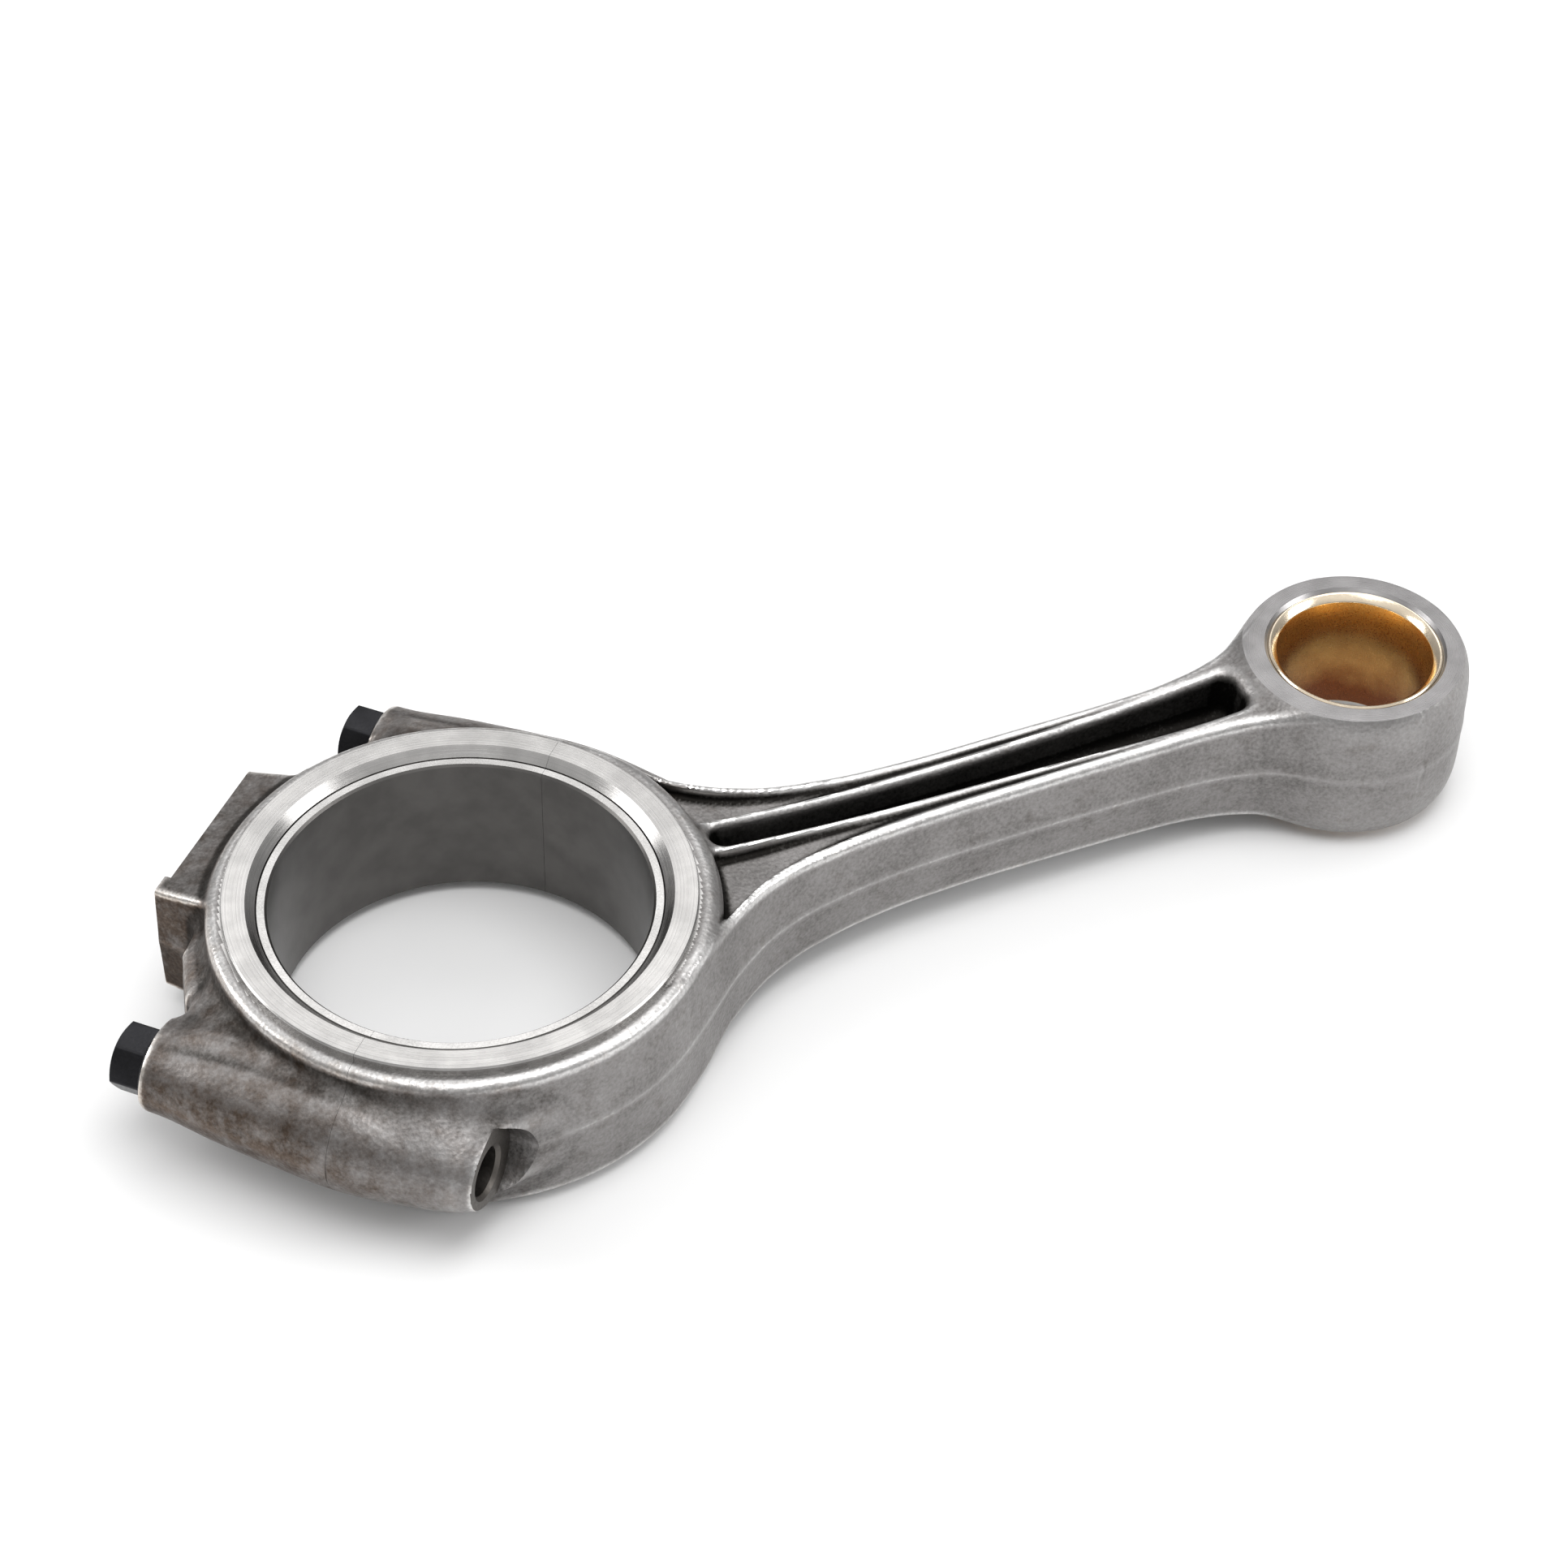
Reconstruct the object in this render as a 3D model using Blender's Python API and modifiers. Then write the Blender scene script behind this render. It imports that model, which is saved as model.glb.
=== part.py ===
"""Connecting rod for a mid-size diesel engine, with an obliquely split big end.

The rod lies on its side, on the machined face of its big end; the small end is narrower and clear
of the ground. X runs from the big end to the small end, Z along the two bores. Everything is
modelled around the big end's centre at mid-width, and the parent empty then puts the whole
object over the world's origin. Metres throughout.
"""
import math

import bmesh
import bpy
from mathutils import Matrix, Vector

# Driving dimensions.
CENTRES = 0.206            # big-end centre to small-end centre
WIDTH = 0.039              # over the machined side faces of the big end
SMALL_WIDTH = 0.033        # over the machined side faces of the small end
HOUSING_R = 0.0415         # big-end housing bore, without its shells
THRUST_R = 0.0491          # machined side face of the big end
RING_R = 0.0525            # forged ring around the big end, at mid-width
SPLIT_ANGLE = 135.0        # from +X to the direction in which the cap comes off, degrees
BOLT_OFFSET = 0.0505       # bolt axis to big-end centre, along the split
SEAT_N = 0.043             # bolt-head seat, ahead of the split
PAD_N = 0.0600             # outer face of the cap's weight pad, ahead of the split
BOSS_END_N = -0.029        # machined end of the near bolt boss, behind the split
EYE_FACE_R = 0.0236        # machined side face of the small end
EYE_R = 0.0257             # forged eye at mid-width
BUSH_HOUSING_R = 0.0190    # small-end bore that holds the bush
PIN_R = 0.0169             # bore of the bush
FLANGE_Y = 0.0095          # half the shank's width
FLANGE_Z = 0.0125          # half the shank's height
WEB_Z = 0.0035             # half the web's thickness
THREAD_R = 0.0049          # M10 bolt, as a plain cylinder
SPOT_R = 0.0100            # machined round the near boss's end
GAP = 0.0003               # between pieces that touch on the real object

# Derived sizes.
HALF_WIDTH = WIDTH / 2
SMALL_HALF_WIDTH = SMALL_WIDTH / 2
HALF_GAP = GAP / 2
HOLE_R = THREAD_R + GAP
SLEEVE_IN_R = THREAD_R + GAP
SLEEVE_OUT_R = SLEEVE_IN_R + 0.0009
SLEEVE_HOLE_R = SLEEVE_OUT_R + GAP
SLEEVE_HALF = 0.006
SHELL_OUT_R = HOUSING_R - GAP
SHELL_IN_R = SHELL_OUT_R - 0.0021
SHELL_HALF = HALF_WIDTH - 0.002
BUSH_OUT_R = BUSH_HOUSING_R - GAP
BUSH_HALF = SMALL_HALF_WIDTH - 0.0004
BOLT_TIP_N = -0.020
BLIND_END_N = -0.0225
BOSS_R = 0.0128

BIG_STEPS = 96             # facets around the big end
SMALL_STEPS = 64           # facets around the small end
BOLT_STEPS = 32            # facets around a bolt
CUT = 0.15                 # reach of a cutter that goes right past the object

TO_SPLIT = Matrix.Rotation(math.radians(SPLIT_ANGLE), 4, "Z")
# Bores, shells and bush are turned half a facet against the forgings around them.
BIG_END = Matrix.Rotation(math.pi / BIG_STEPS, 4, "Z")
SMALL_END = Matrix.Translation((CENTRES, 0.0, 0.0)) @ Matrix.Rotation(math.pi / SMALL_STEPS, 4, "Z")
SIDES = {"near": 1, "far": -1}   # across the split: local +Y is the near side


def clear_scene():
    for obj in list(bpy.data.objects):
        bpy.data.objects.remove(obj, do_unlink=True)


def new_collection(name):
    coll = bpy.data.collections.new(name)
    bpy.context.scene.collection.children.link(coll)
    return coll


def make_material(name, colour, roughness, metallic):
    mat = bpy.data.materials.new(name)
    mat.use_nodes = True
    shader = mat.node_tree.nodes["Principled BSDF"]
    shader.inputs["Base Color"].default_value = (*colour, 1.0)
    shader.inputs["Roughness"].default_value = roughness
    shader.inputs["Metallic"].default_value = metallic
    mat.diffuse_color = (*colour, 1.0)
    return mat


def smooth(mesh):
    mesh.shade_smooth()
    mesh.set_sharp_from_angle(angle=math.radians(30))


def add_object(name, mesh, coll, matrix=None):
    obj = bpy.data.objects.new(name, mesh)
    coll.objects.link(obj)
    if matrix is not None:
        obj.matrix_world = matrix
    return obj


def as_cutter(obj):
    obj.hide_render = True
    obj.display_type = "WIRE"
    return obj


def turned(name, profile, steps, coll, matrix=None, closed=False):
    """A profile of (radius, height) points, top to bottom, turned about Z."""
    mesh = bpy.data.meshes.new(name)
    points = [(radius, 0.0, height) for radius, height in profile]
    edges = [(i, i + 1) for i in range(len(points) - 1)]
    if closed:
        edges.append((len(points) - 1, 0))
    mesh.from_pydata(points, edges, [])
    obj = add_object(name, mesh, coll, matrix)
    screw = obj.modifiers.new("turn", "SCREW")
    screw.steps = steps
    screw.render_steps = steps
    screw.use_merge_vertices = True
    screw.merge_threshold = 0.00001
    screw.use_smooth_shade = False
    return obj


def baked(obj, coll):
    """The object as an ordinary mesh, with its modifiers or its curve worked out."""
    bpy.context.view_layer.update()
    depsgraph = bpy.context.evaluated_depsgraph_get()
    mesh = bpy.data.meshes.new_from_object(obj.evaluated_get(depsgraph))
    bm = bmesh.new()
    bm.from_mesh(mesh)
    bmesh.ops.remove_doubles(bm, verts=bm.verts, dist=0.000001)
    bm.to_mesh(mesh)
    bm.free()
    name = obj.name
    matrix = obj.matrix_world.copy()
    bpy.data.objects.remove(obj, do_unlink=True)
    return add_object(name, mesh, coll, matrix)


def fillet(corners, steps=6):
    """The outline through (x, y, radius) corners, each rounded by an arc of its own radius."""
    outline = []
    for i, (x, y, radius) in enumerate(corners):
        here = Vector((x, y))
        before = (Vector(corners[i - 1][:2]) - here).normalized()
        after = (Vector(corners[(i + 1) % len(corners)][:2]) - here).normalized()
        if radius == 0:
            outline.append(here)
            continue
        half = before.angle(after) / 2
        centre = here + (before + after).normalized() * (radius / math.sin(half))
        start = here + before * (radius / math.tan(half)) - centre
        end = here + after * (radius / math.tan(half)) - centre
        turn = start.angle_signed(end)
        for step in range(steps + 1):
            outline.append(centre + Matrix.Rotation(-turn * step / steps, 2) @ start)
    return outline


def plate(name, outline, low, high, coll, matrix=None):
    """A flat outline, filled and raised from low to high."""
    curve = bpy.data.curves.new(name, "CURVE")
    curve.dimensions = "2D"
    curve.fill_mode = "BOTH"
    curve.extrude = (high - low) / 2
    spline = curve.splines.new("POLY")
    spline.points.add(len(outline) - 1)
    for point, place in zip(spline.points, outline):
        point.co = (place[0], place[1], 0.0, 1.0)
    spline.use_cyclic_u = True
    obj = bpy.data.objects.new(name, curve)
    coll.objects.link(obj)
    lift = Matrix.Translation((0.0, 0.0, (high + low) / 2))
    obj.matrix_world = (matrix or Matrix()) @ lift
    return baked(obj, coll)


def block(name, low, high, coll, matrix):
    """A box between two corners."""
    mesh = bpy.data.meshes.new(name)
    bm = bmesh.new()
    bmesh.ops.create_cube(bm, size=1.0)
    size = Vector(high) - Vector(low)
    middle = (Vector(high) + Vector(low)) / 2
    place = Matrix.Translation(middle) @ Matrix.Diagonal((*size, 1.0))
    bmesh.ops.transform(bm, matrix=place, verts=bm.verts)
    bm.to_mesh(mesh)
    bm.free()
    return add_object(name, mesh, coll, matrix)


def boolean(target, tool, operation):
    step = target.modifiers.new(tool.name, "BOOLEAN")
    step.operation = operation
    step.object = tool
    step.solver = "EXACT"


def along_bolt(side, n=0.0):
    """The frame of one bolt boss: its Z points out of the cap, its origin n ahead of the split."""
    place = Matrix.Translation((n, SIDES[side] * BOLT_OFFSET, 0.0))
    return TO_SPLIT @ place @ Matrix.Rotation(math.radians(90), 4, "Y")


def bolt_axis(side, n=0.0):
    """The same frame turned half a facet, for the bolt, its hole and its sleeve."""
    return along_bolt(side, n) @ Matrix.Rotation(math.pi / BOLT_STEPS, 4, "Z")


def rod_steel_ring(name, tools):
    """The forged ring of the big end, still a full disc, with its raised machined faces."""
    upper = [
        (0.0, HALF_WIDTH),
        (THRUST_R, HALF_WIDTH),
        (THRUST_R, HALF_WIDTH - 0.0013),
        (0.0508, HALF_WIDTH - 0.0015),
        (0.0519, 0.0160),
        (RING_R, 0.0130),
    ]
    profile = upper + [(radius, -height) for radius, height in reversed(upper)]
    return as_cutter(turned(name, profile, BIG_STEPS, tools))


def eye(tools):
    """The forged eye of the small end, still solid, crowned between its machined faces."""
    upper = [(0.0, SMALL_HALF_WIDTH), (EYE_FACE_R, SMALL_HALF_WIDTH), (0.0246, 0.0159), (0.0251, 0.0142),
             (0.0255, 0.0080)]
    profile = upper + [(EYE_R, 0.0)] + [(radius, -height) for radius, height in reversed(upper)]
    return as_cutter(turned("eye_forging", profile, SMALL_STEPS, tools, Matrix.Translation((CENTRES, 0.0, 0.0))))


def shank(tools):
    """The I-shaped shank: its outline from above met by its outline from the side."""
    plan = fillet([
        (0.0200, -0.0440, 0), (0.0375, -0.0415, 0.010), (0.0720, -FLANGE_Y, 0.030),
        (0.1670, -FLANGE_Y, 0.030), (0.1910, -0.0190, 0), (0.1910, 0.0190, 0), (0.1670, FLANGE_Y, 0.030),
        (0.0700, FLANGE_Y, 0.015), (0.0560, 0.0175, 0.015), (0.0440, 0.0330, 0.004), (0.0200, 0.0400, 0),
    ], 8)
    reach = 0.06
    top = [(0.0100, 0.0160), (0.0450, 0.0155), (0.0600, 0.0145), (0.0850, FLANGE_Z), (0.1450, FLANGE_Z),
           (0.1660, 0.0132), (0.1800, 0.0146), (0.2000, 0.0150)]
    side = top + [(x, -z) for x, z in reversed(top)]
    stand = Matrix.Rotation(math.radians(90), 4, "X")
    obj = plate("shank_plan", plan, -reach, reach, tools)
    profile = plate("shank_side", side, -reach, reach, tools, stand)
    boolean(obj, as_cutter(profile), "INTERSECT")
    edge = obj.modifiers.new("edges", "BEVEL")
    edge.width = 0.0015
    edge.segments = 2
    edge.limit_method = "ANGLE"
    edge.angle_limit = math.radians(35)
    return as_cutter(obj)


def pockets(tools):
    """Both sides' deep pockets along the shank, and the shallow ones where it widens."""
    deep = fillet([(0.0545, -0.0030, 0.0028), (0.1775, -0.0054, 0.0048),
                   (0.1775, 0.0054, 0.0048), (0.0545, 0.0030, 0.0028)])
    near = fillet([(0.0550, -0.0062, 0.0015), (0.0510, -0.0205, 0.0015), (0.0725, -0.0074, 0.0015)])
    far = fillet([(0.0550, 0.0062, 0.0015), (0.0710, 0.0072, 0.0015), (0.0515, 0.0180, 0.0015)])
    cutters = []
    for name, outline, floor in (("deep", deep, WEB_Z), ("near", near, 0.0118), ("far", far, 0.0118)):
        cutters.append(as_cutter(plate(name + "_pocket_up", outline, floor, CUT, tools)))
        cutters.append(as_cutter(plate(name + "_pocket_down", outline, -CUT, -floor, tools)))
    return cutters


def bolt_boss(side, tools):
    """The round boss along one bolt, widest at the split, narrow under the head and at its end."""
    front = [(0.0, SEAT_N), (0.0085, SEAT_N), (0.0093, SEAT_N - 0.0010), (0.0110, 0.0260), (0.0124, 0.0100)]
    middle = [(BOSS_R, 0.0020), (BOSS_R, -0.0030)]
    if side == "near":
        back = [(0.0112, -0.0160), (0.0096, -0.0250), (0.0080, BOSS_END_N), (0.0, BOSS_END_N)]
    else:
        back = [(0.0118, -0.0100), (0.0, -0.0140)]
    return as_cutter(turned(side + "_bolt_boss", front + middle + back, BOLT_STEPS, tools, along_bolt(side)))


def cylinder(name, radius, low, high, steps, tools, matrix):
    return as_cutter(turned(name, [(0.0, high), (radius, high), (radius, low), (0.0, low)], steps, tools, matrix))


def bore_cutter(name, radius, half_width, steps, tools, matrix):
    """A bore right through, opened by a 45 degree chamfer at each side face."""
    chamfer = 0.0012
    outside = 0.003
    profile = [(0.0, half_width + outside), (radius + chamfer + outside, half_width + outside),
               (radius, half_width - chamfer)]
    profile += [(r, -z) for r, z in reversed(profile)]
    return as_cutter(turned(name, profile, steps, tools, matrix))


def split_cutter(name, low, high, tools):
    return as_cutter(block(name, (low, -CUT, -CUT), (high, CUT, CUT), tools, TO_SPLIT))


def bolt_hole(side, tools):
    """A bolt's hole through both halves, wider at the split, where the dowel sleeve sits."""
    sleeve_end = SLEEVE_HALF + GAP
    profile = [(0.0, CUT), (HOLE_R, CUT), (HOLE_R, sleeve_end), (SLEEVE_HOLE_R, sleeve_end),
               (SLEEVE_HOLE_R, -sleeve_end), (HOLE_R, -sleeve_end)]
    if side == "near":
        profile += [(HOLE_R, BOSS_END_N), (SPOT_R, BOSS_END_N), (SPOT_R, -CUT), (0.0, -CUT)]
    else:
        profile += [(HOLE_R, BLIND_END_N), (0.0, BLIND_END_N)]
    return as_cutter(turned(side + "_bolt_hole", profile, BOLT_STEPS, tools, bolt_axis(side)))


def shared_cutters(tools):
    """What is machined through rod and cap together."""
    return [bore_cutter("housing_bore", HOUSING_R, HALF_WIDTH, BIG_STEPS, tools, BIG_END)] + [
        bolt_hole(side, tools) for side in SIDES]


def rod_body(parts, tools, bosses, shared):
    """The forged rod: shank, eye and the upper half of the big end."""
    obj = baked(rod_steel_ring("rod_body", tools), parts)
    for piece in (shank(tools), eye(tools), *bosses):
        boolean(obj, piece, "UNION")
    boolean(obj, split_cutter("cap_side", -HALF_GAP, CUT, tools), "DIFFERENCE")
    for cutter in pockets(tools):
        boolean(obj, cutter, "DIFFERENCE")
    small = bore_cutter("bush_housing", BUSH_HOUSING_R, SMALL_HALF_WIDTH, SMALL_STEPS, tools, SMALL_END)
    for cutter in (*shared, small):
        boolean(obj, cutter, "DIFFERENCE")
    return obj


def bearing_cap(parts, tools, bosses, shared):
    """The lower half of the big end, with its weight pad and its two bolt bosses."""
    obj = baked(rod_steel_ring("bearing_cap", tools), parts)
    arch = [(0.0380, -0.0420, 0), (0.0445, -0.0380, 0.002), (0.0490, -0.0280, 0.004),
            (0.0490, 0.0280, 0.004), (0.0445, 0.0380, 0.002), (0.0380, 0.0420, 0)]
    pad = [(0.0380, -0.0230, 0), (PAD_N, -0.0190, 0.001), (PAD_N, -0.0146, 0),
           (PAD_N - 0.0014, -0.0146, 0), (PAD_N - 0.0014, 0.0195, 0.001), (0.0380, 0.0230, 0)]
    pad = [(n, -across, radius) for n, across, radius in reversed(pad)]
    shoulder = [(0.0060, -0.0480, 0), (0.0400, -0.0480, 0.002), (0.0370, -0.0330, 0.002), (0.0060, -0.0330, 0)]
    other_shoulder = [(n, -across, radius) for n, across, radius in reversed(shoulder)]
    pieces = [
        as_cutter(plate("cap_arch", fillet(arch), -0.0085, 0.0085, tools, TO_SPLIT)),
        as_cutter(plate("near_shoulder", fillet(shoulder), -0.0095, 0.0095, tools, TO_SPLIT)),
        as_cutter(plate("far_shoulder", fillet(other_shoulder), -0.0095, 0.0095, tools, TO_SPLIT)),
        as_cutter(plate("weight_pad", fillet(pad), -0.0138, 0.0138, tools, TO_SPLIT)),
    ]
    for piece in (*pieces, *bosses):
        boolean(obj, piece, "UNION")
    boolean(obj, split_cutter("rod_side", -CUT, HALF_GAP, tools), "DIFFERENCE")
    for cutter in shared:
        boolean(obj, cutter, "DIFFERENCE")
    return obj


def bearing_shell(name, low, high, parts, tools):
    """One half of the big-end bearing, between the split planes low and high."""
    edge = 0.0005
    ring = [(SHELL_IN_R + edge, SHELL_HALF), (SHELL_OUT_R, SHELL_HALF), (SHELL_OUT_R, -SHELL_HALF),
            (SHELL_IN_R + edge, -SHELL_HALF), (SHELL_IN_R, -SHELL_HALF + edge), (SHELL_IN_R, SHELL_HALF - edge)]
    obj = baked(turned(name, ring, BIG_STEPS, tools, BIG_END, closed=True), parts)
    boolean(obj, split_cutter(name + "_split", low, high, tools), "DIFFERENCE")
    return obj


def small_end_bush(parts, tools):
    edge = 0.0012
    ring = [(PIN_R + edge, BUSH_HALF), (BUSH_OUT_R, BUSH_HALF), (BUSH_OUT_R, -BUSH_HALF),
            (PIN_R + edge, -BUSH_HALF), (PIN_R, -BUSH_HALF + edge), (PIN_R, BUSH_HALF - edge)]
    return baked(turned("small_end_bush", ring, SMALL_STEPS, tools, SMALL_END, closed=True), parts)


def cap_bolt(side, parts, tools):
    """A flanged hexagon bolt: the flange rests on the cap, the tip ends inside the rod."""
    flange_r = 0.0081
    flange_top = GAP + 0.0014
    hex_r = 0.0075
    head_top = GAP + 0.0082
    tip_chamfer = 0.0012
    length = SEAT_N - BOLT_TIP_N
    profile = [
        (0.0, flange_top), (hex_r * 0.8, flange_top), (flange_r - 0.0006, flange_top - 0.0006),
        (flange_r, flange_top - 0.0011), (flange_r, GAP), (THREAD_R, GAP), (THREAD_R, tip_chamfer - length),
        (THREAD_R - tip_chamfer, -length), (0.0, -length),
    ]
    obj = baked(turned(side + "_cap_bolt", profile, BOLT_STEPS, tools), parts)
    mesh = bpy.data.meshes.new(side + "_hexagon")
    bm = bmesh.new()
    bmesh.ops.create_cone(bm, cap_ends=True, segments=6, radius1=hex_r, radius2=hex_r,
                          depth=head_top - flange_top + 0.001,
                          matrix=Matrix.Translation((0.0, 0.0, (head_top + flange_top - 0.001) / 2)))
    bm.to_mesh(mesh)
    bm.free()
    hexagon = as_cutter(add_object(side + "_hexagon", mesh, tools))
    hexagon.matrix_world = bolt_axis(side, SEAT_N)
    crown = cylinder(side + "_crown", hex_r * 0.95, flange_top - 0.001, head_top, 24, tools, hexagon.matrix_world)
    obj.matrix_world = bolt_axis(side, SEAT_N)
    boolean(hexagon, crown, "INTERSECT")
    boolean(obj, hexagon, "UNION")
    return obj


def dowel_sleeve(side, parts, tools):
    """A thin ring that keeps rod and cap in line, around the bolt at the split."""
    ring = [(SLEEVE_IN_R, SLEEVE_HALF), (SLEEVE_OUT_R, SLEEVE_HALF), (SLEEVE_OUT_R, -SLEEVE_HALF),
            (SLEEVE_IN_R, -SLEEVE_HALF)]
    obj = baked(turned(side + "_dowel_sleeve", ring, BOLT_STEPS, tools, closed=True), parts)
    obj.matrix_world = bolt_axis(side)
    return obj


def centre_over_origin(frame, parts):
    """Moves the parent so that the object stands on Z = 0, centred on the origin."""
    bpy.context.view_layer.update()
    depsgraph = bpy.context.evaluated_depsgraph_get()
    points = []
    for obj in parts:
        shape = obj.evaluated_get(depsgraph)
        points += [shape.matrix_world @ vertex.co for vertex in shape.data.vertices]
    low = Vector([min(point[axis] for point in points) for axis in range(3)])
    high = Vector([max(point[axis] for point in points) for axis in range(3)])
    frame.location = (-(low.x + high.x) / 2, -(low.y + high.y) / 2, -low.z)


def main():
    clear_scene()
    parts = new_collection("connecting_rod")
    tools = new_collection("cutters")
    forged = make_material("forged_steel", (0.42, 0.40, 0.38), 0.42, 1.0)
    bronze = make_material("bush_bronze", (0.72, 0.44, 0.14), 0.30, 1.0)
    black = make_material("black_bolt_steel", (0.03, 0.03, 0.03), 0.40, 0.9)
    overlay = make_material("bearing_overlay", (0.40, 0.39, 0.38), 0.35, 1.0)
    ground = make_material("ground_steel", (0.60, 0.60, 0.60), 0.25, 1.0)

    bosses = [bolt_boss(side, tools) for side in SIDES]
    shared = shared_cutters(tools)
    finishes = [
        (rod_body(parts, tools, bosses, shared), forged),
        (bearing_cap(parts, tools, bosses, shared), forged),
    ]
    finishes.append((small_end_bush(parts, tools), bronze))
    finishes.append((bearing_shell("rod_bearing_shell", -HALF_GAP, CUT, parts, tools), overlay))
    finishes.append((bearing_shell("cap_bearing_shell", -CUT, HALF_GAP, parts, tools), overlay))
    for side in SIDES:
        finishes.append((cap_bolt(side, parts, tools), black))
        finishes.append((dowel_sleeve(side, parts, tools), ground))

    frame = bpy.data.objects.new("big_end_centre", None)
    bpy.context.scene.collection.objects.link(frame)
    for obj, material in finishes:
        obj.data.materials.clear()
        obj.data.materials.append(material)
        smooth(obj.data)
    bpy.context.view_layer.update()
    for obj in [*parts.objects, *tools.objects]:
        obj.parent = frame
    centre_over_origin(frame, list(parts.objects))


main()
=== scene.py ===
import math

import bmesh
import bpy
import numpy as np
from mathutils import Matrix, Vector


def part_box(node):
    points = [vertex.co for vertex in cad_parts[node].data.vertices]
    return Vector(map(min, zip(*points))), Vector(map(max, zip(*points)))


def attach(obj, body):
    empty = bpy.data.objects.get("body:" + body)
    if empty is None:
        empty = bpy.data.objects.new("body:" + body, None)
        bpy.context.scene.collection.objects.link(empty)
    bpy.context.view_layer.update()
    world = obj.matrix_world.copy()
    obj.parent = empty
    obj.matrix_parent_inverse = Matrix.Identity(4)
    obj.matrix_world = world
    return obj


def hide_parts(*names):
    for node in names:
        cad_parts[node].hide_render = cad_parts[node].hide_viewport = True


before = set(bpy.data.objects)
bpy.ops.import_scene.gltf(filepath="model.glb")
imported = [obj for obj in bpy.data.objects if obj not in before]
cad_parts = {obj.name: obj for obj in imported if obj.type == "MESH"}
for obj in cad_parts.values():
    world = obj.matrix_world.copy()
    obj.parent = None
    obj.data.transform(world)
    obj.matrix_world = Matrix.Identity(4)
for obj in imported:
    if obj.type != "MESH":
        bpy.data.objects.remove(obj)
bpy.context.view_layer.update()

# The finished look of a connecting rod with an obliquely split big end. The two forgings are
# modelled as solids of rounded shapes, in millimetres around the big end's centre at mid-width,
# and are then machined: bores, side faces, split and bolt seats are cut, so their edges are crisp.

MM = 0.001

# Driving dimensions, millimetres.
CENTRES = 206.0            # big-end centre to small-end centre
HALF_WIDTH = 19.5          # half the distance between the big end's machined side faces
SMALL_HALF_WIDTH = 16.5    # the same for the small end
HOUSING_R = 41.5           # big-end bore without its shells
THRUST_R = 48.4            # machined side face of the big end
RING_R = 52.6              # forged ring at mid-width
LEDGE_Z = 17.7             # forged ledge round the machined side face
SPLIT_DEGREES = 135.0      # from +X to the way the cap comes off
BOLT_OFFSET = 50.5         # bolt axis to big-end centre
SEAT_N = 43.0              # bolt-head seat, ahead of the split
PAD_N = 60.0               # outer face of the weight pad, ahead of the split
BOSS_END_N = -29.0         # machined end of the near bolt boss
BLIND_END_N = -22.5        # bottom of the far bolt's hole
BOLT_TIP_N = -20.0         # ends of the bolts
EYE_FACE_R = 23.6          # machined side face of the small end
EYE_R = 25.4               # forged eye at mid-width
BUSH_R = 19.0              # bush, outside
PIN_R = 16.9               # bush, bore
SHELL_R = 41.45            # bearing shells, outside
SHELL_IN_R = 39.1          # bearing shells, bore
SHELL_HALF = 17.5          # half the shells' width
BUSH_HALF = 16.1           # half the bush's width
THREAD_R = 4.95            # bolt thread, outside
HOLE_R = 5.2               # bolt holes
SEAT_R = 11.5              # spot face under a bolt's head
BOSS_FACE_R = 10.1         # spot face at the near boss's end
SLEEVE_R = 6.1             # dowel sleeves, outside
SLEEVE_HOLE_R = 6.15       # counterbores for the sleeves
SLEEVE_HALF = 6.0          # half a sleeve's length
WEB_Z = 3.5                # half the web's thickness
BORE_CHAMFER = 1.9         # edge of the big end's bore
PAD_STEP = 1.4             # depth to which most of the pad's outer face is milled
PAD_STEP_Y = 14.6          # across the split, where that step ends
JOINT_GAP = 0.03           # half the hairline between rod and cap
MIDDLE_X = 120.0           # parts the big end's machining from the small end's
CUT = 150.0                # reach of a cutter that goes right past the object
VOXEL = 0.6                # grid on which the forgings are meshed
SHARP = math.radians(35)   # edges bent more than this are shaded sharp
SIDES = {"near": 1.0, "far": -1.0}   # across the split: local +Y is the near side

# Where the CAD says the two ends are.
bush_low, bush_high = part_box("small_end_bush")
SMALL_CENTRE = (bush_low + bush_high) / 2
BIG_CENTRE = SMALL_CENTRE - Vector((CENTRES * MM, 0.0, 0.0))
TO_WORLD = Matrix.Translation(BIG_CENTRE) @ Matrix.Scale(MM, 4)
TO_SPLIT = Matrix.Rotation(math.radians(SPLIT_DEGREES), 4, "Z")
SPLIT_COS = math.cos(math.radians(SPLIT_DEGREES))
SPLIT_SIN = math.sin(math.radians(SPLIT_DEGREES))


# ---------------------------------------------------------------- solids as distance functions

def smooth_max(a, b, k):
    """The larger of two distances, rounded where they meet over a width of k."""
    h = np.clip(0.5 - 0.5 * (b - a) / k, 0.0, 1.0)
    return b + (a - b) * h + k * h * (1.0 - h)


def smooth_min(a, b, k):
    return -smooth_max(-a, -b, k)


def polygon(x, y, corners):
    """Signed distance to a polygon, negative inside."""
    best = np.full(np.broadcast(x, y).shape, 1e9)
    inside = np.zeros(best.shape, dtype=bool)
    count = len(corners)
    for i in range(count):
        ax, ay = corners[i]
        bx, by = corners[(i + 1) % count]
        ex, ey = bx - ax, by - ay
        wx, wy = x - ax, y - ay
        along = np.clip((wx * ex + wy * ey) / (ex * ex + ey * ey), 0.0, 1.0)
        best = np.minimum(best, (wx - ex * along) ** 2 + (wy - ey * along) ** 2)
        crosses = ((ay > y) != (by > y)) & (x < ex * (y - ay) / (ey if ey else 1e-9) + ax)
        inside ^= crosses
    return np.where(inside, -1.0, 1.0) * np.sqrt(best)


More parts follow.
